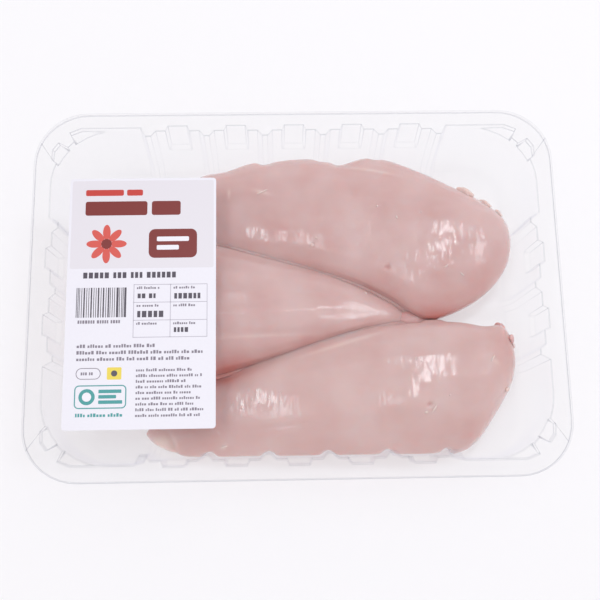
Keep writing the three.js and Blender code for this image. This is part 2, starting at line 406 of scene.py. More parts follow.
@dataclass(frozen=True)
class ClearPlastic:
    """Thin polyester sheet, formed or cast: clear face on and glossier edge on, with painted grey
    shade at steep faces and along folds.
    """

    name: str
    tint: str
    edge_shade_tint: str
    edge_power: float
    roughness: float
    ior: float
    ripple_mm: float
    ripple_strength: float
    edge_share: float = 0.5
    fold_shade_tint: str = "ffffff"

    def build(self) -> bpy.types.Material:
        """Make the material.

        Light passes straight through, as so thin a sheet hardly bends it. What it mirrors
        follows Fresnel's law. Steep faces and folds get a greyer see-through colour, painted shade
        that stands in for the dark lines which refraction draws there.

        Returns:
            The clear material.
        """
        material, tree = new_material(self.name)
        place = add_node(tree, "ShaderNodeTexCoord").outputs["Object"]
        ripple = add_node(
            tree,
            "ShaderNodeTexNoise",
            inputs={"Vector": place, "Scale": 1 / (self.ripple_mm * MM), "Detail": 1.0},
        )
        bump = add_node(
            tree,
            "ShaderNodeBump",
            inputs={
                "Height": ripple.outputs["Fac"],
                "Strength": self.ripple_strength,
                "Distance": 0.1 * MM,
            },
        )
        facing = add_node(tree, "ShaderNodeLayerWeight", inputs={"Blend": 0.5})
        steep, grazing = (
            add_node(
                tree,
                "ShaderNodeMath",
                {"operation": "POWER"},
                {0: facing.outputs["Facing"], 1: power},
            ).outputs[0]
            for power in (self.edge_power, FRESNEL_POWER)
        )
        fold = add_node(tree, "ShaderNodeAttribute", {"attribute_name": "fold"}).outputs["Fac"]
        # The see-through colour greys at steep faces and along folds: painted shade in place of
        # refraction.
        tint = linear(self.tint)
        for share, darker in ((steep, self.edge_shade_tint), (fold, self.fold_shade_tint)):
            tint = add_node(
                tree, "ShaderNodeMix", {"data_type": "RGBA"}, {0: share, 6: tint, 7: linear(darker)}
            ).outputs[2]
        clear = add_node(tree, "ShaderNodeBsdfTransparent", inputs={"Color": tint})
        gloss = add_node(
            tree,
            "ShaderNodeBsdfPrincipled",
            inputs={
                "Base Color": linear("ffffff"),
                "Metallic": 1.0,
                "Roughness": self.roughness,
                "Normal": bump.outputs["Normal"],
            },
        )
        straight_on = ((self.ior - 1) / (self.ior + 1)) ** 2
        mirrored = add_node(
            tree,
            "ShaderNodeMapRange",
            inputs={"Value": grazing, "To Min": straight_on, "To Max": self.edge_share},
        )
        mixed = add_node(
            tree,
            "ShaderNodeMixShader",
            inputs={0: mirrored.outputs[0], 1: clear.outputs["BSDF"], 2: gloss.outputs["BSDF"]},
        )
        add_node(tree, "ShaderNodeOutputMaterial", inputs={"Surface": mixed.outputs["Shader"]})
        return material


@dataclass(frozen=True)
class CoatedPaper:
    """Label paper with a satin coat: pale, slightly lavender, with a faint fibre mottle."""

    name: str
    colour: str
    shade: str
    roughness: float

    def build(self) -> bpy.types.Material:
        """Make the material.

        Returns:
            The paper or ink material.
        """
        material, tree = new_material(self.name)
        place = add_node(tree, "ShaderNodeTexCoord").outputs["Object"]
        mottle = add_node(
            tree,
            "ShaderNodeTexNoise",
            inputs={"Vector": place, "Scale": 1 / (1.2 * MM), "Detail": 4.0},
        )
        colour = add_node(
            tree,
            "ShaderNodeMix",
            {"data_type": "RGBA"},
            {0: mottle.outputs["Fac"], 6: linear(self.colour), 7: linear(self.shade)},
        )
        bump = add_node(
            tree,
            "ShaderNodeBump",
            inputs={"Height": mottle.outputs["Fac"], "Strength": 0.08, "Distance": 0.05 * MM},
        )
        paper = add_node(
            tree,
            "ShaderNodeBsdfPrincipled",
            inputs={
                "Base Color": colour.outputs[2],
                "Roughness": self.roughness,
                "Normal": bump.outputs["Normal"],
            },
        )
        add_node(tree, "ShaderNodeOutputMaterial", inputs={"Surface": paper.outputs["BSDF"]})
        return material


@dataclass(frozen=True)
class RawFlesh:
    """Raw chicken breast: pale pink, translucent, finely fibred, and wet on top."""

    name: str
    pale: str = "d5b6b3"
    pink: str = "cda5a1"
    # The red also paints shade, and the cream also paints light, where the spots are set so.
    red: str = "b84e3e"
    cream: str = "e6d2ca"
    grain_turn: float = 0.0
    ripple_mm: float = 3.2
    ripple_depth: float = 0.3
    scatter_mm: float = 4.0

    def build(self) -> bpy.types.Material:
        """Make the material.

        Returns:
            The flesh material.
        """
        material, tree = new_material(self.name)
        place = add_node(tree, "ShaderNodeTexCoord").outputs["Object"]
        along, across = (
            add_node(
                tree,
                "ShaderNodeMapping",
                inputs={"Vector": place, "Rotation": (0.0, 0.0, self.grain_turn), "Scale": stretch},
            ).outputs[0]
            for stretch in ((0.16, 1.0, 1.0), (1.0, 0.3, 1.0))
        )
        patches, fibres, ripples, wet = (
            add_node(
                tree,
                "ShaderNodeTexNoise",
                inputs={"Vector": way, "Scale": 1 / (grain_mm * MM), "Detail": detail},
            ).outputs["Fac"]
            for way, grain_mm, detail in (
                (place, 22.0, 3.0),
                (along, 2.4, 2.0),
                (across, self.ripple_mm, 1.0),
                (place, 7.0, 3.0),
            )
        )
        patchy, fibred, gloss = (
            add_node(
                tree,
                "ShaderNodeMapRange",
                inputs={
                    "Value": value,
                    "From Min": start,
                    "From Max": end,
                    "To Min": least,
                    "To Max": most,
                },
            ).outputs[0]
            for value, start, end, least, most in (
                (patches, 0.35, 0.7, 0.0, 1.0),
                (fibres, 0.45, 0.75, 0.0, 0.2),
                (wet, 0.3, 0.7, 0.34, 0.5),
            )
        )
        blood_and_shade, fat, dry = (
            add_node(tree, "ShaderNodeAttribute", {"attribute_name": name}).outputs["Fac"]
            for name in ("blood_and_shade", "fat", "dry")
        )
        # Besides real bloody staining and fatty tissue, the red share paints shade into creases,
        # seams and downward slopes, and the cream share paints a highlight streak and light on a
        # shaded flank.
        colour = linear(self.pale)
        for share, tint in (
            (patchy, self.pink),
            (fibred, self.pale),
            (blood_and_shade, self.red),
            (fat, self.cream),
        ):
            colour = add_node(
                tree, "ShaderNodeMix", {"data_type": "RGBA"}, {0: share, 6: colour, 7: linear(tint)}
            ).outputs[2]
        wetness = add_node(tree, "ShaderNodeMath", {"operation": "SUBTRACT"}, {0: 1.0, 1: dry})
        relief = add_node(
            tree,
            "ShaderNodeBump",
            inputs={"Height": fibres, "Strength": 0.1, "Distance": 0.25 * MM},
        )
        wet_relief = add_node(
            tree,
            "ShaderNodeBump",
            inputs={
                "Height": ripples,
                "Strength": 1.0,
                "Distance": self.ripple_depth * MM,
                "Normal": relief.outputs["Normal"],
            },
        )
        body = add_node(
            tree,
            "ShaderNodeBsdfPrincipled",
            inputs={
                "Base Color": colour,
                "Roughness": gloss,
                "IOR": 1.38,
                "Subsurface Weight": 0.7,
                "Subsurface Radius": (1.0, 0.42, 0.32),
                "Subsurface Scale": self.scatter_mm * MM,
                "Coat Weight": wetness.outputs[0],
                "Coat Roughness": 0.11,
                "Coat IOR": 1.33,
                "Normal": relief.outputs["Normal"],
                "Coat Normal": wet_relief.outputs["Normal"],
            },
        )
        add_node(tree, "ShaderNodeOutputMaterial", inputs={"Surface": body.outputs["BSDF"]})
        return material


@dataclass(frozen=True)
class WetTissue:
    """Fat, membrane or juice on raw meat: soft, a little translucent and very wet."""

    name: str
    colour: str

    def build(self) -> bpy.types.Material:
        """Make the material.

        Returns:
            The tissue material.
        """
        material, tree = new_material(self.name)
        place = add_node(tree, "ShaderNodeTexCoord").outputs["Object"]
        patches = add_node(
            tree,
            "ShaderNodeTexNoise",
            inputs={"Vector": place, "Scale": 1 / (1.5 * MM), "Detail": 2.0},
        )
        colour = add_node(
            tree,
            "ShaderNodeMix",
            {"data_type": "RGBA"},
            {0: patches.outputs["Fac"], 6: linear(self.colour), 7: linear("e8d0ca")},
        )
        body = add_node(
            tree,
            "ShaderNodeBsdfPrincipled",
            inputs={
                "Base Color": colour.outputs[2],
                "Roughness": 0.22,
                "IOR": 1.38,
                "Subsurface Weight": 0.5,
                "Subsurface Radius": (1.0, 0.7, 0.6),
                "Subsurface Scale": 1.0 * MM,
                "Coat Weight": 0.8,
                "Coat Roughness": 0.06,
                "Coat IOR": 1.33,
            },
        )
        add_node(tree, "ShaderNodeOutputMaterial", inputs={"Surface": body.outputs["BSDF"]})
        return material


# Both sheets' greyer steep faces, and the tray's fold lines, are painted shade standing in for
# refraction.
FORMED_SHEET = ClearPlastic(
    "thermoformed_polyester",
    tint="fefefe",
    edge_shade_tint="fafafc",
    edge_power=4.0,
    roughness=0.1,
    ior=1.06,
    ripple_mm=14.0,
    ripple_strength=0.25,
    edge_share=0.14,
    fold_shade_tint="dcdde1",
)

LABEL_PAPER = CoatedPaper(
    "satin_label_paper", colour="eae7ee", shade="e5e2ea", roughness=0.45
)

TAUT_FILM = ClearPlastic(
    "taut_lid_film",
    tint="fefefe",
    edge_shade_tint="f4f5f8",
    edge_power=3.0,
    roughness=0.02,
    ior=1.02,
    ripple_mm=40.0,
    ripple_strength=0.05,
)


@dataclass
class Tray:
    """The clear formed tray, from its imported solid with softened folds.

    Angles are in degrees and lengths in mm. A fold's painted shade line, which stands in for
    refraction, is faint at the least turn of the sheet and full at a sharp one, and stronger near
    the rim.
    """

    node: str = "tray"
    flat_angle: float = 3.0
    skew_angle: float = 60.0
    smooth_angle: float = 35.0
    fold_angle: float = 25.0
    fold_width: float = 0.6
    fold_steps: int = 2
    faint_fold: float = 0.07
    full_fold: float = 0.26
    low_share: float = 0.3
    rim_start: float = 27.0
    rim_full: float = 38.0
    shortest_edge: float = 0.001

    def build(self, frame: dict[str, Any]) -> None:
        """Round the tray's folds and dress it.

        Args:
            frame: The loaded frame.
        """
        piece = copy_of_node(frame["nodes"][self.node], "formed_tray")

        def join_flats() -> None:
            """Join triangles that lie in one flat face."""
            bpy.ops.mesh.tris_convert_to_quads(
                face_threshold=math.radians(self.flat_angle),
                shape_threshold=math.radians(self.skew_angle),
            )

        in_edit_mode(piece, join_flats)
        apply_modifier(
            piece,
            "BEVEL",
            width=self.fold_width * MM,
            segments=self.fold_steps,
            limit_method="ANGLE",
            angle_limit=math.radians(self.fold_angle),
            use_clamp_overlap=True,
        )
        self.mark_folds(piece)
        activate(piece)
        bpy.ops.object.shade_smooth_by_angle(angle=math.radians(self.smooth_angle))
        finish_piece(piece, FORMED_SHEET.build(), [self.node])

    def mark_folds(self, piece: bpy.types.Object) -> None:
        """Write how sharply the sheet turns along the middle of each fold, which sets how dark its
        painted shade line is.

        The corners of the wide faces beside a fold get none, so that it shows as a line,
        and the rounder folds lower down show less than those at the rim.

        Args:
            piece: The tray with its softened folds.
        """
        mesh = piece.data
        lengths = {}
        for edge in mesh.edges:
            first, second = (mesh.vertices[index].co for index in edge.vertices)
            lengths[edge.key] = (first - second).length / MM
        total = np.zeros((len(mesh.vertices), 3))
        count = np.zeros(len(mesh.vertices))
        widest = np.zeros(len(mesh.vertices))
        for face in mesh.polygons:
            longest = max(lengths[key] for key in face.edge_keys)
            width = face.area / MM**2 / max(longest, self.shortest_edge)
            for index in face.vertices:
                total[index] += face.normal
                count[index] += 1
                widest[index] = max(widest[index], width)
        spread = 1 - np.linalg.norm(total, axis=1) / np.maximum(count, 1)
        turn = np.sqrt(np.clip(spread, 0.0, 1.0))
        folds = np.clip((turn - self.faint_fold) / (self.full_fold - self.faint_fold), 0, 1)
        folds[widest > self.fold_width] = 0
        rim = ramp(corner_places(piece)[:, 2], self.rim_start, self.rim_full)
        folds *= self.low_share + (1 - self.low_share) * rim
        # These shares darken the sheet's see-through colour: painted shade lines standing in for
        # refraction.
        write_shares(piece, "fold", folds)


@dataclass
class LidFilm:
    """The taut clear film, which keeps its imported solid."""

    node: str = "lid_film"

    def build(self, frame: dict[str, Any]) -> None:
        """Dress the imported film.

        Args:
            frame: The loaded frame.
        """
        dress(frame["nodes"][self.node], TAUT_FILM.build())


class Relief(Enum):
    """Kinds of relief on the meat: grain in mm, stretch along and across it, depth in mm."""

    LUMP = (26.0, 1.6, 1.0, 0.9)
    SWELLING = (8.0, 1.4, 1.0, 0.2)
    PUCKER = (2.6, 1.0, 4.0, 0.06)


@dataclass
class Breast:
    """One breast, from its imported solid: remeshed, relieved, sculpted and settled.

    The relief fades out beside its neighbours and the tray, so that nothing is crossed, and
    the breast then settles on the breasts that carry it. The shoulder and the flank are the
    ranges of upward facing over which relief and sculpting start.
    """

    node: str
    grain_turn: float
    carriers: Sequence[str] = ()
    shaping: Sequence[Spot] = ()
    # The red spots also paint shade, and the cream spots also paint light, where they are set so.
    blood_and_shade: Sequence[Spot] = ()
    fat: Sequence[Spot] = ()
    dry: Sequence[Spot] = ()
    ripple_depth: float = 0.3
    voxel: float = 0.8
    smooth_rounds: int = 26
    smooth_factor: float = 0.5
    shoulder: tuple[float, float] = (0.0, 0.45)
    flank: tuple[float, float] = (-0.7, 0.0)
    fade_start: float = 0.4
    fade_end: float = 4.0
    settle_full: float = 1.0
    settle_reach: float = 3.2
    settle_gap: float = 0.1

    def build(self, frame: dict[str, Any], finished: dict[str, bpy.types.Object]) -> None:
        """Remake the breast, dress it and add it to the finished ones.

        Args:
            frame: The loaded frame.
            finished: The breasts that are done, by node, to which this one is added.
        """
        piece = copy_of_node(frame["nodes"][self.node], self.node + "_flesh")
        apply_modifier(
            piece, "REMESH", mode="VOXEL", voxel_size=self.voxel * MM, use_smooth_shade=True
        )
        apply_modifier(piece, "SMOOTH", factor=self.smooth_factor, iterations=self.smooth_rounds)
        room = self.room(piece, frame)
        self.wrinkle(piece, room * ramp(corner_normals(piece)[:, 2], *self.shoulder))
        self.sculpt(piece, room)
        for carrier in self.carriers:
            self.settle(piece, finished[carrier])
        paint_stains_and_light(piece, {"blood_and_shade": self.blood_and_shade, "fat": self.fat, "dry": self.dry})
        shade_smooth(piece)
        flesh = RawFlesh(
            self.node + "_raw_flesh",
            grain_turn=math.radians(self.grain_turn),
            ripple_depth=self.ripple_depth,
        )
        finish_piece(piece, flesh.build(), [self.node])
        finished[self.node] = piece

    def room(self, piece: bpy.types.Object, frame: dict[str, Any]) -> np.ndarray:
        """Say how freely each corner may move outwards, by how near its neighbours are.

        Args:
            piece: The breast.
            frame: The loaded frame.

        Returns:
            A share for each corner, none where a neighbour is near.
        """
        share = np.ones(len(piece.data.vertices))
        for name, node in frame["nodes"].items():
            if name in (self.node, "label"):
                continue
            share *= ramp(distances(piece, node, self.fade_end), self.fade_start, self.fade_end)
        return share

    def wrinkle(self, piece: bpy.types.Object, free: np.ndarray) -> None:
        """Displace the top with lumps, small swellings and fibre bundles.

        Args:
            piece: The breast.
            free: The share of the relief that each corner takes.
        """
        mask = "relief"
        group = piece.vertex_groups.new(name=mask)
        for index, share in enumerate(free):
            group.add([index], float(share), "REPLACE")
        for relief in Relief:
            grain, along, across, depth = relief.value
            guide = new_object("grain_guide")
            guide.rotation_euler = (0.0, 0.0, math.radians(self.grain_turn))
            guide.scale = (along, across, 1.0)
            bpy.context.view_layer.update()
            texture = bpy.data.textures.new(f"{self.node}_{relief.name.lower()}", "CLOUDS")
            texture.noise_scale = grain * MM
            apply_modifier(
                piece,
                "DISPLACE",
                texture=texture,
                texture_coords="OBJECT",
                texture_coords_object=guide,
                strength=depth * MM,
                mid_level=0.5,
                vertex_group=mask,
            )
            bpy.data.objects.remove(guide)

    def sculpt(self, piece: bpy.types.Object, room: np.ndarray) -> None:
        """Raise the mounds and press in the dents, which the flanks take too.

        Args:
            piece: The breast.
            room: The share of a mound that each corner may take.
        """
        places = corner_places(piece)
        normals = corner_normals(piece)
        lift = spot_field(places, self.shaping)
        upper = ramp(normals[:, 2], *self.flank)
        lift *= np.where(lift > 0, room * upper, upper)
        move_corners(piece, places + normals * lift[:, None])

    def settle(self, piece: bpy.types.Object, carrier: bpy.types.Object) -> None:
        """Draw the breast's edge down onto a breast that carries it.

        Args:
            piece: The breast.
            carrier: The finished breast under it.
        """
        places = corner_places(piece)
        reach = self.settle_reach * MM
        for index, place in enumerate(places):
            found, spot, normal, _ = carrier.closest_point_on_mesh(
                Vector(place) * MM, distance=reach
            )
            if found:
                height = (Vector(place) * MM - spot).dot(normal) / MM
                pull = ramp(height, self.settle_reach, self.settle_full)
                target = spot / MM + normal * self.settle_gap
                places[index] += (np.array(target) - place) * pull
        move_corners(piece, places)


class Tissue(Enum):
    """What a loose bit on the meat is, with its colour."""

    FAT = "d8bdb4"
    MEMBRANE = "dcc8c2"
    FLESH = "d0a5a2"


@dataclass(frozen=True)
class Scrap:
    """A loose bit that lies on a breast: its place and sizes in mm, its turn in degrees.

    A tucked bit is the smooth end of a breast where its neighbours nearly close over it,
    and lies level at its own place.
    """

    owner: str
    tissue: Tissue
    place: tuple[float, float, float]
    size: tuple[float, float, float]
    turn: float = 0.0
    tucked: bool = False


@dataclass
class Scraps:
    """Bits of fatty tissue, membrane and torn flesh, each partly sunk in the breast under it."""

    scraps: Sequence[Scrap]
    rough_grain: float = 2.5
    rough_depth: float = 0.5
    proud: float = 0.1
    fineness: int = 4

    def build(self, finished: dict[str, bpy.types.Object]) -> None:
        """Model every bit and join the bits of one tissue to one piece.

        Args:
            finished: The finished breasts by node.
        """
        for tissue in Tissue:
            bits = [self.bit(s, finished[s.owner]) for s in self.scraps if s.tissue is tissue]
            piece = join_pieces(bits, "meat_" + tissue.name.lower() + "_bits")
            shade_smooth(piece)
            if tissue is Tissue.FLESH:
                colour = tissue.value
                finish = RawFlesh(piece.name, pale=colour, pink=colour, scatter_mm=1.5)
            else:
                finish = WetTissue(piece.name, tissue.value)
            finish_piece(piece, finish.build())

    def bit(self, scrap: Scrap, owner: bpy.types.Object) -> bpy.types.Object:
        """Model one bit and lay it on its breast.

        Args:
            scrap: The bit.
            owner: The finished breast that it lies on.

        Returns:
            The bit's object.
        """
        bpy.ops.object.select_all(action="DESELECT")
        bpy.ops.mesh.primitive_ico_sphere_add(subdivisions=self.fineness, radius=0.5)
        bit = bpy.context.active_object
        bit.scale = Vector(scrap.size) * MM
        bpy.ops.object.transform_apply(location=False, rotation=False, scale=True)
        turn = Matrix.Rotation(math.radians(scrap.turn), 4, "Z")
        if scrap.tucked:
            bit.matrix_world = Matrix.Translation(Vector(scrap.place) * MM) @ turn
            return bit
        texture = bpy.data.textures.new("torn_edge", "CLOUDS")
        texture.noise_scale = self.rough_grain * MM
        apply_modifier(
            bit,
            "DISPLACE",
            texture=texture,
            texture_coords="LOCAL",
            strength=min(*scrap.size, self.rough_grain) * self.rough_depth * MM,
        )
        _, spot, normal, _ = owner.closest_point_on_mesh(Vector(scrap.place) * MM)
        stand = normal.to_track_quat("Z", "Y").to_matrix().to_4x4()
        raised = spot + normal * scrap.size[2] * self.proud * MM
        bit.matrix_world = Matrix.Translation(raised) @ stand @ turn
        return bit


@dataclass
class Droplets:
    """Beads of juice on the meat, which catch the light as small white points."""

    spots: Sequence[tuple[str, float, float, float]]
    flatness: float = 0.5
    fineness: int = 3

    def build(self, finished: dict[str, bpy.types.Object]) -> None:
        """Set the beads on the breasts and join them to one piece.

        Args:
            finished: The finished breasts by node.
        """
        beads = [self.bead(finished[owner], x, y, size) for owner, x, y, size in self.spots]
        piece = join_pieces(beads, "meat_juice_beads")
        shade_smooth(piece)
        finish_piece(piece, WetTissue(piece.name, "dcb9b5").build())

    def bead(self, owner: bpy.types.Object, x: float, y: float, size: float) -> bpy.types.Object:
        """Set one flattened bead where a straight drop would land on a breast.

        Args:
            owner: The breast.
            x: The bead's place along the tray, in mm.
            y: Its place across the tray, in mm.
            size: Its width, in mm.

        Returns:
            The bead's object.
        """
        _, spot, normal = drop_on(owner, x, y)
        bpy.ops.object.select_all(action="DESELECT")
        bpy.ops.mesh.primitive_ico_sphere_add(subdivisions=self.fineness, radius=0.5)
        bead = bpy.context.active_object
        stand = normal.to_track_quat("Z", "Y").to_matrix().to_4x4()
        shape = Matrix.Diagonal((size * MM, size * MM, size * self.flatness * MM, 1.0))
        bead.matrix_world = Matrix.Translation(spot) @ stand @ shape
        return bead


@dataclass(frozen=True)
class Seam:
    """A seam where a breast lies over the middle one, in mm.

    It runs along the tray from start to end. At inner, across the tray, the middle breast
    shows, and at outer the one over it.
    """

    name: str
    over: str
    start: float
    end: float
    inner: float
    outer: float


@dataclass
class JuiceSeams:
    """Juice drawn into the seams where one breast lies on another, with painted shade in its red
    share.

    A seam is followed from above: at each step along it, straight drops tell which breast
    shows, and the place where that changes is found by halving. The bead lies a little way
    in under the upper breast, and is raised and thickened where that one's edge stands high.
    """

    seams: Sequence[Seam]
    # Its red spots paint the seams' shade.
    blood_and_shade: Sequence[Spot]
    step: float = 2.0
    halvings: int = 12
    radius: float = 1.5
    inset: float = 0.5
    rise: float = -0.4
    probe: float = 0.2
    low_edge: float = 0.8
    most_lift: float = 3.0
    raised_share: float = 0.6
    thickened_share: float = 0.5
    round_steps: int = 4
    nowhere: float = -100.0

    def build(self, finished: dict[str, bpy.types.Object]) -> None:
        """Lay a thin bead of juice along every seam.

        Args:
            finished: The finished breasts by node.
        """
        middle = finished["breast_middle"]
        beads = [
            self.bead(seam.name + "_seam", self.trace(seam, middle, finished[seam.over]))
            for seam in self.seams
        ]
        piece = join_pieces(beads, "meat_juice_seams")
        paint_stains_and_light(piece, {"blood_and_shade": self.blood_and_shade, "fat": (), "dry": ()})
        flesh = RawFlesh("seam_flesh", pale="d2aba7", pink="cca39f")
        finish_piece(piece, flesh.build())

    def trace(
        self, seam: Seam, under: bpy.types.Object, over: bpy.types.Object
    ) -> list[tuple[Vector, float]]:
        """Follow one seam from above.

        Args:
            seam: The seam.
            under: The breast that carries the other.
            over: The breast that lies on it.

        Returns:
            The bead's places in mm, each with its share of the full radius.
        """
        points = []
        side = math.copysign(1.0, seam.outer - seam.inner)
        steps = round((seam.end - seam.start) / self.step)
        for count in range(steps + 1):
            x = seam.start + count * self.step
            low, high = seam.inner, seam.outer
            for _ in range(self.halvings):
                half = (low + high) / 2
                if self.height(over, x, half) > self.height(under, x, half):
                    high = half
                else:
                    low = half
            below = self.height(under, x, low)
            above = self.height(over, x, low + side * self.probe)
            if below > 0:
                lift = min(max(above - below - self.low_edge, 0.0), self.most_lift)
                z = below + self.rise + self.raised_share * lift
                share = 1 + self.thickened_share * lift / self.radius
                points.append((Vector((x, low + side * self.inset, z)), share))
        return points

    def bead(self, name: str, points: Sequence[tuple[Vector, float]]) -> bpy.types.Object:
        """Lay one bead.

        Args:
            name: The bead's name.
            points: Its places in mm, each with its share of the full radius.

        Returns:
            The bead's object.
        """
        curve = bpy.data.curves.new(name, "CURVE")
        curve.dimensions = "3D"
        curve.bevel_depth = self.radius * MM
        curve.bevel_resolution = self.round_steps
        curve.use_fill_caps = True
        line = curve.splines.new("POLY")
        line.points.add(len(points) - 1)
        for point, (place, share) in zip(line.points, points):
            point.co = (*(place * MM), 1.0)
            point.radius = share
        activate(new_object(name, curve))
        bpy.ops.object.convert(target="MESH")
        bpy.ops.object.shade_smooth()
        return bpy.context.active_object

    def height(self, breast: bpy.types.Object, x: float, y: float) -> float:
        """Say how high a breast's top is at a place, in mm, or far down if it isn't there."""
        hit, spot, _ = drop_on(breast, x, y)
        return spot.z / MM if hit else self.nowhere


class Ink(Enum):
    """The label's printing inks."""

    PALE_FIELD = "dfdae0"
    MIST = "b2acb8"
    GREY = "7f7682"
    SLATE = "4c4450"
    DEEP_RED = "7a2622"
    BRIGHT_RED = "c23a32"
    CORAL = "d2544a"
    YELLOW = "e6cf4c"
    TEAL = "3a9494"
    PAPER = "eae7ee"


@dataclass
class Label:
    """The paper label on the film, with its print in thin raised ink.

    The print is laid out in millimetres from the label's left top corner, and each layer
    stands a hair higher than the one under it. A word's gaps and its blocks' widths are
    shares of its height.
    """

    node: str = "label"
    seed: int = 11
    layer_rise: float = 0.015
    sunk: float = 0.04
    ink_roughness: float = 0.4
    corner_steps: int = 5
    oval_sides: int = 36
    level: float = 0.9
    word_blocks: tuple[int, int] = (2, 7)
    block_widths: tuple[float, float] = (0.42, 0.72)
    short_odds: float = 0.65
    short_height: float = 0.7
    block_gap: float = 0.24
    word_gap: float = 0.5
    shapes: dict[Ink, list[bpy.types.Object]] = field(default_factory=dict)
    corner: Vector = field(init=False)
    draw: random.Random = field(init=False)

    def build(self, frame: dict[str, Any]) -> None:
        """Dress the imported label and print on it.

        Args:
            frame: The loaded frame.
        """
        dress(frame["nodes"][self.node], LABEL_PAPER.build())
        low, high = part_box(self.node)
        self.corner = Vector((low[0] / MM, high[1] / MM, high[2] / MM))
        self.draw = random.Random(self.seed)
        self.heading()
        self.table()
        self.small_print()
        self.marks()
        for ink, shapes in self.shapes.items():
            piece = join_pieces(shapes, "print_" + ink.name.lower())
            finish = CoatedPaper(
                "offset_ink_" + ink.name.lower(), ink.value, ink.value, self.ink_roughness
            )
            finish_piece(piece, finish.build())

    def place(self, u: float, v: float, layer: int) -> tuple[Vector, float]:
        """Turn a place on the label into the frame's.

        Args:
            u: The way right from the label's left edge, in mm.
            v: The way down from its top edge, in mm.
            layer: How many layers of ink lie under this one.

        Returns:
            The middle of the ink's thickness there, in metres, and that thickness in mm.
        """
        top = self.layer_rise * (layer + 1)
        middle = Vector((self.corner.x + u, self.corner.y - v, self.corner.z))
        middle.z += (top - self.sunk) / 2
        return middle * MM, top + self.sunk

    def keep(self, ink: Ink) -> bpy.types.Object:
        """Add the newest object to an ink's shapes."""
        shape = bpy.context.active_object
        self.shapes.setdefault(ink, []).append(shape)
        return shape

    def block(
        self,
        ink: Ink,
        u: float,
        v: float,
        width: float,
        height: float,
        corner: float = 0.0,
        layer: int = 0,
    ) -> bpy.types.Object:
        """Print a bar or a field of colour.

        Args:
            ink: The ink.
            u: Its left edge, in mm.
            v: Its top edge, in mm.
            width: Its width, in mm.
            height: Its height, in mm.
            corner: The radius of its corners, in mm.
            layer: How many layers of ink lie under it.

        Returns:
            The new shape.
        """
        middle, thick = self.place(u + width / 2, v + height / 2, layer)
        bpy.ops.mesh.primitive_cube_add(
            size=1, location=middle, scale=(width * MM, height * MM, thick * MM)
        )
        shape = self.keep(ink)
        if corner:
            bpy.ops.object.transform_apply(location=False, rotation=False, scale=True)
            flat = thick * MM / 2
            points = shape.data.vertices

            def upright(edge: bpy.types.MeshEdge) -> bool:
                """Say whether an edge runs through the ink's thickness."""
                start, end = edge.vertices
                return abs(points[start].co.z - points[end].co.z) > flat

            def round_off() -> None:
                """Round the upright edges."""
                bpy.ops.mesh.bevel(offset=corner * MM, segments=self.corner_steps, affect="EDGES")

            in_edit_mode(shape, round_off, edges=upright)
        return shape

    def outline(
        self, ink: Ink, u: float, v: float, width: float, height: float, corner: float, line: float
    ) -> None:
        """Print a rounded frame: a field whose middle is inset and bridged through.

        Args:
            ink: The ink.
            u: Its left edge, in mm.
            v: Its top edge, in mm.
            width: Its width, in mm.
            height: Its height, in mm.
            corner: The radius of its corners, in mm.
            line: The width of its line, in mm.
        """
        shape = self.block(ink, u, v, width, height, corner)

        def cut_through() -> None:
            """Inset the top and the bottom, and bridge the two."""
            bpy.ops.mesh.inset(thickness=line * MM)
            bpy.ops.mesh.bridge_edge_loops()

        in_edit_mode(shape, cut_through, faces=lambda face: abs(face.normal.z) > self.level)

    def oval(
        self,
        ink: Ink,
        u: float,
        v: float,
        half_width: float,
        half_height: float,
        turn: float = 0.0,
        layer: int = 0,
    ) -> None:
        """Print a filled oval.

        Args:
            ink: The ink.
            u: Its middle, from the left, in mm.
            v: Its middle, from the top, in mm.
            half_width: Half its width, in mm.
            half_height: Half its height, in mm.
            turn: Its turn, in degrees.
            layer: How many layers of ink lie under it.
        """
        middle, thick = self.place(u, v, layer)
        bpy.ops.mesh.primitive_cylinder_add(
            vertices=self.oval_sides,
            radius=1,
            depth=1,
            location=middle,
            rotation=(0, 0, math.radians(turn)),
            scale=(half_width * MM, half_height * MM, thick * MM),
        )
        self.keep(ink)

    def words(
        self,
        ink: Ink,
        u: float,
        v: float,
        width: float,
        height: float,
        capitals: bool = False,
    ) -> None:
        """Print a line of blank letter blocks in words, which says nothing.

        Args:
            ink: The ink.
            u: Its left end, in mm.
            v: Its top, in mm.
            width: The room that it has, in mm.
            height: The tall blocks' height, in mm.
            capitals: Whether all its blocks are tall.
        """
        reach = u
        while reach < u + width:
            for _ in range(self.draw.randint(*self.word_blocks)):
                wide = height * self.draw.uniform(*self.block_widths)
                tall = height
                if not capitals and self.draw.random() < self.short_odds:
                    tall = height * self.short_height
                if reach + wide > u + width:
                    return
                self.block(ink, reach, v + height - tall, wide, tall, layer=1)
                reach += wide + self.block_gap * height
            reach += self.word_gap * height

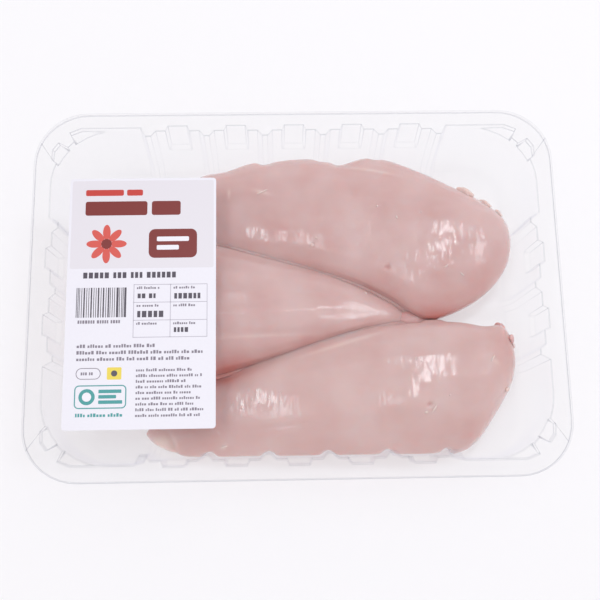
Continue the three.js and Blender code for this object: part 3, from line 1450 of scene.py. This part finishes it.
    def heading(self) -> None:
        """Print the upper field with its bars, its flower and its badge."""
        self.block(Ink.PALE_FIELD, 1.2, 1.2, 71.1, 46.0, 1.0)
        self.block(Ink.BRIGHT_RED, 8.0, 6.0, 19.0, 3.2, 0.8, 1)
        self.block(Ink.BRIGHT_RED, 28.6, 6.0, 8.0, 3.2, 0.8, 1)
        self.block(Ink.DEEP_RED, 8.0, 12.2, 31.0, 7.4, 1.2, 1)
        self.block(Ink.DEEP_RED, 41.2, 12.2, 14.5, 7.4, 1.2, 1)
        flower = (19.0, 34.5)
        petal_reach = 6.0
        for turn in range(0, 360, 45):
            angle = math.radians(turn)
            u = flower[0] + petal_reach * math.cos(angle)
            v = flower[1] - petal_reach * math.sin(angle)
            self.oval(Ink.CORAL, u, v, 4.0, 1.9, turn, 1)
        self.oval(Ink.DEEP_RED, *flower, 2.6, 2.6, 0.0, 2)
        self.block(Ink.DEEP_RED, 40.0, 27.0, 24.0, 15.0, 3.0, 1)
        self.block(Ink.PAPER, 44.0, 31.0, 16.0, 2.4, 0.6, 2)
        self.block(Ink.PAPER, 44.0, 35.4, 11.0, 2.4, 0.6, 2)
        self.words(Ink.SLATE, 8.0, 49.2, 46.0, 3.0, capitals=True)

    def table(self) -> None:
        """Print the stripe block beside a ruled table of small words and figures."""
        stripe_widths = (0.35, 0.35, 0.7, 1.05)
        stripe_gaps = (0.35, 0.7, 0.7)
        reach, stripes_end = 5.0, 29.0
        while reach < stripes_end:
            wide = self.draw.choice(stripe_widths)
            self.block(Ink.SLATE, reach, 57.0, wide, 15.0, layer=1)
            reach += wide + self.draw.choice(stripe_gaps)
        self.words(Ink.GREY, 6.0, 73.4, 22.0, 1.6, capitals=True)
        rows = (55.5, 64.5, 73.5, 82.0)
        columns = (33.0, 51.0, 69.0)
        rule = 0.3
        for v in rows:
            self.block(Ink.MIST, columns[0], v, columns[-1] - columns[0], rule)
        for u in columns:
            self.block(Ink.MIST, u, rows[0], rule, rows[-1] - rows[0] + rule)
        for v in rows[:-1]:
            for u in columns[:-1]:
                self.words(Ink.GREY, u + 1.6, v + 1.1, 11.0, 1.3)
        figures = (
            (35.0, 69.0, 14.5, 3.2),
            (53.0, 60.2, 13.0, 2.8),
            (53.0, 77.4, 8.0, 2.4),
            (35.0, 60.2, 9.0, 2.4),
        )
        for u, v, width, height in figures:
            self.words(Ink.SLATE, u, v, width, height, capitals=True)

    def small_print(self) -> None:
        """Print three middling lines and a column of fine ones."""
        for row, width in enumerate((38.0, 62.0, 55.0)):
            self.words(Ink.GREY, 6.0, 85.4 + 3.2 * row, width, 1.7)
        for row in range(9):
            width = 34.0 - self.draw.uniform(0.0, 9.0)
            self.words(Ink.GREY, 35.0, 97.6 + 2.75 * row, width, 1.4)

    def marks(self) -> None:
        """Print a small frame, a yellow square with a dot, and a teal frame with ring and bars."""
        self.outline(Ink.GREY, 6.0, 97.0, 12.0, 5.6, 2.7, 0.35)
        self.words(Ink.GREY, 8.4, 99.1, 7.4, 1.4, capitals=True)
        self.block(Ink.YELLOW, 21.0, 96.8, 7.0, 6.0, 0.6)
        self.oval(Ink.SLATE, 24.5, 99.8, 1.5, 1.5, layer=1)
        self.outline(Ink.TEAL, 5.6, 105.4, 25.0, 11.4, 2.2, 0.55)
        self.oval(Ink.TEAL, 11.6, 111.1, 3.9, 3.9)
        self.oval(Ink.PAPER, 11.6, 111.1, 2.2, 2.2, layer=1)
        for row, width in enumerate((11.0, 8.5, 11.5)):
            self.block(Ink.TEAL, 17.2, 107.6 + 2.6 * row, width, 1.7, 0.3)
        self.words(Ink.TEAL, 6.4, 119.0, 23.0, 1.7)


MIDDLE_BREAST = Breast(
    node="breast_middle",
    grain_turn=-6.0,
    shaping=(
        Spot(-20.0, -20.0, 26.0, 2.2, 3.0, -0.5),
        Spot(-18.0, -26.0, 24.0, 3.0, 6.0, 0.4),
        Spot(36.0, 2.1, 1.0, 0.8, 0.0, 0.3),
        Spot(32.0, -15.0, 26.0, 4.5, -6.0, 0.5),
        Spot(32.0, 2.0, 24.0, 6.0, -12.0, 0.6),
        Spot(30.0, -8.5, 24.0, 4.5, 9.0, -0.35),
        Spot(48.0, -4.5, 8.0, 5.0, 0.0, 0.7),
        Spot(32.0, -14.0, 24.0, 4.5, 8.0, 0.3),
    ),
    # All four are painted shade: in the left crevice, at the end tucked under both neighbours, and
    # on the lower slope beside the near seam.
    blood_and_shade=(
        Spot(-36.0, -38.0, 12.0, 5.0, 12.0, 0.55),
        Spot(66.0, -10.0, 8.0, 4.0, -20.0, 0.12),
        Spot(-8.0, -30.0, 34.0, 7.0, 12.0, 0.14),
        Spot(12.0, -22.0, 22.0, 4.0, 14.0, 0.12),
    ),
    # A painted highlight streak along the fold on the near slope.
    fat=(Spot(-18.0, -21.5, 20.0, 0.7, 4.0, 0.35),),
    dry=(Spot(-34.0, -8.0, 24.0, 14.0, 0.0, 0.95),),
    ripple_depth=0.16,
)

BACK_BREAST = Breast(
    node="breast_back",
    grain_turn=10.0,
    carriers=("breast_middle",),
    shaping=(
        Spot(25.0, 80.0, 4.5, 5.0, 0.0, -1.6),
        Spot(-13.0, 79.5, 4.0, 4.0, 0.0, -0.8),
        Spot(29.5, 57.0, 2.6, 5.0, 20.0, -0.35),
        Spot(42.0, 69.0, 12.0, 1.3, -13.0, 0.35),
        Spot(92.0, 41.0, 18.0, 12.0, 0.0, 1.4),
        Spot(-24.0, 77.0, 13.0, 7.0, 0.0, 1.6),
        Spot(-48.0, 73.0, 9.0, 7.0, 0.0, 2.2),
        Spot(47.7, 14.6, 1.2, 1.2, 0.0, -0.5),
    ),
    blood_and_shade=(
        # Redder and darker at the lower tip.
        Spot(71.0, -12.0, 14.0, 4.5, 4.0, 0.55),
        # Painted shade, redder and darker, along the lower edge where it turns down over the middle
        # breast and at the lower right.
        Spot(62.0, -3.0, 18.0, 7.0, -16.0, 0.2),
        Spot(88.0, -2.0, 14.0, 6.0, 30.0, 0.16),
        # A small dark spot in a dent.
        Spot(47.7, 14.6, 1.4, 1.0, 0.0, 0.35),
        # Painted shade along the lower edge over the middle breast.
        Spot(22.0, 12.0, 22.0, 5.0, -22.0, 0.14),
        # Small red tints.
        Spot(30.0, 58.0, 9.0, 5.0, 0.0, 0.1),
        Spot(77.0, 65.0, 3.0, 1.6, -20.0, 0.3),
    ),
    fat=(
        Spot(42.0, 69.0, 12.0, 0.9, -13.0, 0.5),
        Spot(-17.0, 58.0, 4.5, 1.0, -20.0, 0.7),
        Spot(-34.7, 58.0, 0.8, 2.6, 0.0, 0.6),
    ),
    dry=(
        Spot(44.0, 18.0, 26.0, 12.0, -12.0, 0.9),
        Spot(46.0, 38.0, 15.0, 14.0, 0.0, 0.9),
        Spot(20.0, 31.0, 10.0, 9.0, 0.0, 0.9),
        Spot(60.0, 37.0, 7.0, 9.0, 0.0, 0.85),
        Spot(-34.0, 36.0, 8.5, 12.0, 0.0, 0.95),
        Spot(-12.0, 34.0, 3.6, 9.0, 0.0, 0.95),
        Spot(-1.3, 33.0, 2.4, 9.0, 0.0, 0.95),
        Spot(88.5, 27.0, 2.0, 10.0, 0.0, 0.7),
        Spot(88.0, 41.0, 16.0, 6.0, 0.0, 0.8),
        Spot(92.0, 13.0, 16.0, 6.0, 0.0, 0.8),
    ),
    ripple_depth=0.42,
)

FRONT_BREAST = Breast(
    node="breast_front",
    grain_turn=-10.0,
    carriers=("breast_middle", "breast_back"),
    shaping=(
        Spot(65.5, -57.5, 1.6, 1.1, 30.0, -0.9),
        Spot(-35.0, -68.0, 11.0, 3.5, -50.0, -0.9),
        Spot(-6.5, -66.0, 9.0, 1.1, 5.0, -0.3),
        Spot(-64.0, -73.0, 1.6, 5.0, 20.0, -1.2),
        Spot(58.0, -57.0, 12.0, 12.0, 0.0, 1.8),
        Spot(116.0, -24.0, 8.0, 13.0, 0.0, -1.5),
        Spot(-22.0, -42.0, 16.0, 10.0, 10.0, 1.5),
    ),
    blood_and_shade=(
        # Painted shade in the left crevice between this breast and the middle one.
        Spot(-38.0, -41.5, 11.0, 4.0, 14.0, 0.5),
        Spot(65.2, -57.0, 1.3, 0.9, 30.0, 0.4),
        Spot(86.0, -68.0, 14.0, 6.0, 8.0, 0.12),
        Spot(110.0, -24.0, 6.0, 8.0, 0.0, 0.3),
        Spot(-36.0, -68.0, 12.0, 8.0, -40.0, 0.12),
        Spot(-66.0, -74.0, 8.0, 5.0, 0.0, 0.02),
    ),
    fat=(
        Spot(24.0, -24.6, 22.0, 1.0, 16.0, 0.45),
        Spot(-37.5, -75.6, 2.0, 1.0, 30.0, 0.6),
        Spot(100.0, -36.0, 2.4, 1.2, -30.0, 0.4),
        Spot(-70.0, -73.0, 8.0, 5.0, 0.0, 0.95),
        Spot(25.0, -48.0, 90.0, 36.0, 0.0, 0.14),
        # Painted light on the near flank, which faces down beside the tray's wall.
        Spot(10.0, -81.0, 90.0, 10.0, 0.0, 0.08),
    ),
    dry=(
        Spot(8.0, -56.0, 14.0, 12.0, 0.0, 0.95),
        Spot(-21.0, -64.0, 18.0, 6.0, 0.0, 1.0),
        Spot(33.0, -40.0, 20.0, 16.0, 0.0, 1.0),
        Spot(50.0, -60.0, 14.0, 7.0, 10.0, 0.9),
        Spot(95.0, -37.0, 10.0, 8.0, 0.0, 0.85),
        Spot(84.0, -35.0, 8.0, 9.0, 0.0, 0.9),
        Spot(84.0, -50.0, 8.0, 8.0, 0.0, 0.8),
    ),
    ripple_depth=0.24,
)

SEAMS = (
    Seam("far", "breast_back", -52.0, 66.0, -10.5, 50.0),
    Seam("near", "breast_front", -52.0, 58.0, -12.0, -60.0),
)

# Painted shade on the seam beads: faintly redder all along, and deep red in the left crevice.
SEAM_SHADE = (Spot(0.0, 0.0, 90.0, 90.0, 0.0, 0.05), Spot(-38.0, -41.0, 13.0, 6.0, 14.0, 0.45))

SCRAPS = (
    Scrap("breast_middle", Tissue.FLESH, (63.0, -11.0, 13.6), (23.0, 12.0, 9.4), -6.0, True),
    Scrap("breast_back", Tissue.FAT, (93.5, 61.0, 19.0), (10.5, 3.4, 4.0), -16.0),
    Scrap("breast_back", Tissue.MEMBRANE, (104.0, 54.0, 18.0), (8.5, 2.0, 2.6), -32.0),
    Scrap("breast_back", Tissue.MEMBRANE, (111.0, 48.0, 18.0), (8.0, 1.8, 2.4), -48.0),
    Scrap("breast_back", Tissue.MEMBRANE, (53.0, 41.0, 30.0), (2.2, 0.9, 0.7), 40.0),
    Scrap("breast_back", Tissue.MEMBRANE, (77.0, 13.5, 31.0), (2.6, 0.7, 0.6), 70.0),
    Scrap("breast_back", Tissue.MEMBRANE, (85.3, 9.5, 30.0), (3.0, 0.7, 0.6), -60.0),
    Scrap("breast_back", Tissue.MEMBRANE, (-17.0, 58.0, 22.5), (6.5, 1.1, 0.8), -18.0),
    Scrap("breast_middle", Tissue.MEMBRANE, (36.0, 2.1, 20.0), (1.8, 1.3, 0.9), 0.0),
    Scrap("breast_front", Tissue.MEMBRANE, (67.5, -59.5, 29.5), (4.2, 1.1, 1.0), 35.0),
    Scrap("breast_front", Tissue.MEMBRANE, (63.5, -61.0, 29.5), (2.0, 1.2, 0.9), 10.0),
    Scrap("breast_front", Tissue.FLESH, (112.5, -22.5, 20.0), (5.0, 7.0, 2.6), 10.0),
    Scrap("breast_front", Tissue.MEMBRANE, (114.5, -25.5, 18.0), (2.0, 6.0, 1.4), -15.0),
    Scrap("breast_front", Tissue.FLESH, (107.0, -13.5, 15.0), (6.0, 4.4, 3.4), -20.0),
    Scrap("breast_front", Tissue.FAT, (106.5, -49.0, 20.0), (3.0, 4.6, 1.6), 10.0),
    Scrap("breast_front", Tissue.MEMBRANE, (98.5, -34.5, 29.5), (4.0, 1.0, 0.8), -35.0),
    Scrap("breast_front", Tissue.MEMBRANE, (-37.5, -75.6, 17.9), (3.6, 1.0, 0.8), 30.0),
)

BEADS = (
    ("breast_back", 43.1, 47.5, 1.2),
    ("breast_back", 65.9, 43.4, 0.9),
    ("breast_back", 8.8, 27.9, 2.0),
    ("breast_back", 11.0, 31.5, 1.0),
    ("breast_front", 59.7, -33.7, 1.1),
    ("breast_front", 62.4, -35.2, 0.8),
    ("breast_front", 75.7, -52.9, 1.0),
    ("breast_front", -28.2, -56.7, 1.3),
    ("breast_front", -23.1, -52.8, 1.0),
    ("breast_front", -19.4, -54.6, 0.8),
    ("breast_front", -15.1, -52.0, 1.1),
    ("breast_front", -9.0, -49.2, 0.9),
    ("breast_front", -33.3, -55.0, 0.9),
)


@dataclass(frozen=True)
class SoftBox:
    """An oval lamp aimed at the tray: its place and sizes in metres, and its power in watts."""

    name: str
    place: tuple[float, float, float]
    width: float
    depth: float
    watts: float


LAMPS = (
    SoftBox("key", (-0.8, -0.1, 1.0), 0.8, 0.8, 0.8),
    SoftBox("left_strip", (-0.28, -0.01, 1.15), 0.18, 0.26, 1.8),
    SoftBox("right_box", (0.143, 0.3, 1.14), 0.14, 0.24, 1.9),
    SoftBox("far_right_box", (0.62, 0.216, 0.98), 0.4, 0.24, 2.3),
    SoftBox("fill", (0.3, 1.1, 0.9), 0.6, 0.6, 0.4),
)


@dataclass
class Studio:
    """The pale floor, the lights and the camera."""

    lamps: Sequence[SoftBox]
    lamp_colour: str = "eefaff"
    sky_colour: str = "fff8f9"
    board_colour: str = "aeadaf"
    glow_colour: str = "fffdff"
    floor_half: float = 30.0
    floor_drop: float = 0.1
    floor_glow: float = 0.51
    horizon_strength: float = 1.1
    zenith_strength: float = 0.53

    def build(self) -> None:
        """Make the floor, the sky, the lamps and the camera."""
        self.floor()
        self.sky()
        for box in self.lamps:
            self.lamp(box)
        self.camera()
        scene = bpy.context.scene
        scene.view_settings.view_transform = "Standard"
        scene.cycles.max_bounces = 16
        scene.cycles.transmission_bounces = 12
        scene.cycles.transparent_max_bounces = 24
        scene.cycles.caustics_reflective = False
        scene.cycles.caustics_refractive = False
        scene.cycles.use_denoising = True

    def floor(self) -> None:
        """Lay the matt white floor, a hair under the tray and lit a little from below."""
        bpy.ops.object.select_all(action="DESELECT")
        bpy.ops.mesh.primitive_plane_add(
            size=2 * self.floor_half, location=(0, 0, -self.floor_drop * MM)
        )
        floor = bpy.context.active_object
        floor.name = "floor"
        material, tree = new_material("matt_white_board")
        board = add_node(
            tree,
            "ShaderNodeBsdfPrincipled",
            inputs={
                "Base Color": linear(self.board_colour),
                "Roughness": 0.9,
                "Emission Color": linear(self.glow_colour),
                "Emission Strength": self.floor_glow,
            },
        )
        add_node(tree, "ShaderNodeOutputMaterial", inputs={"Surface": board.outputs["BSDF"]})
        floor.data.materials.append(material)

    def sky(self) -> None:
        """Surround the set with soft light that is brightest near the horizon."""
        world = bpy.data.worlds.new("soft_box_room")
        bpy.context.scene.world = world
        world.use_nodes = True
        tree = world.node_tree
        tree.nodes.clear()
        way = add_node(tree, "ShaderNodeTexCoord").outputs["Generated"]
        height = add_node(tree, "ShaderNodeSeparateXYZ", inputs={0: way})
        strength = add_node(
            tree,
            "ShaderNodeMapRange",
            inputs={
                "Value": height.outputs["Z"],
                "To Min": self.horizon_strength,
                "To Max": self.zenith_strength,
            },
        )
        light = add_node(
            tree,
            "ShaderNodeBackground",
            inputs={"Color": linear(self.sky_colour), "Strength": strength.outputs[0]},
        )
        add_node(tree, "ShaderNodeOutputWorld", inputs={"Surface": light.outputs["Background"]})

    def lamp(self, box: SoftBox) -> None:
        """Hang a soft box.

        Args:
            box: The soft box.
        """
        light = bpy.data.lights.new(box.name, "AREA")
        light.shape = "ELLIPSE"
        light.size = box.width
        light.size_y = box.depth
        light.energy = box.watts
        light.color = linear(self.lamp_colour)[:3]
        lamp = new_object(box.name, light)
        back = Vector(box.place).normalized()
        side = (Vector((1, 0, 0)) - back * back.x).normalized()
        turn = Matrix((side, back.cross(side), back)).transposed()
        lamp.matrix_world = Matrix.Translation(box.place) @ turn.to_4x4()

    def camera(self) -> None:
        """Stand the camera where the photograph's was."""
        lens = bpy.data.cameras.new("camera")
        lens.sensor_width = SENSOR_WIDTH
        lens.lens = SENSOR_WIDTH * FOCAL_PIXELS / PHOTO_WIDTH
        camera = new_object("camera", lens)
        turn = (
            Matrix.Rotation(math.radians(CAMERA_YAW), 4, "Y")
            @ Matrix.Rotation(math.radians(CAMERA_PITCH), 4, "X")
            @ Matrix.Rotation(math.radians(CAMERA_ROLL), 4, "Z")
        )
        camera.matrix_world = Matrix.Translation(Vector(CAMERA_PLACE) * MM) @ turn
        bpy.context.scene.camera = camera


def main() -> None:
    """Build the dressed tray of breasts."""
    logging.basicConfig(level=logging.INFO, format="%(name)s %(message)s")
    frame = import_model()
    Studio(LAMPS).build()
    Tray().build(frame)
    LidFilm().build(frame)
    Label().build(frame)
    finished: dict[str, bpy.types.Object] = {}
    for breast in (MIDDLE_BREAST, BACK_BREAST, FRONT_BREAST):
        breast.build(frame, finished)
    Scraps(SCRAPS).build(finished)
    Droplets(BEADS).build(finished)
    JuiceSeams(SEAMS, SEAM_SHADE).build(finished)


if __name__ == "__main__":
    main()
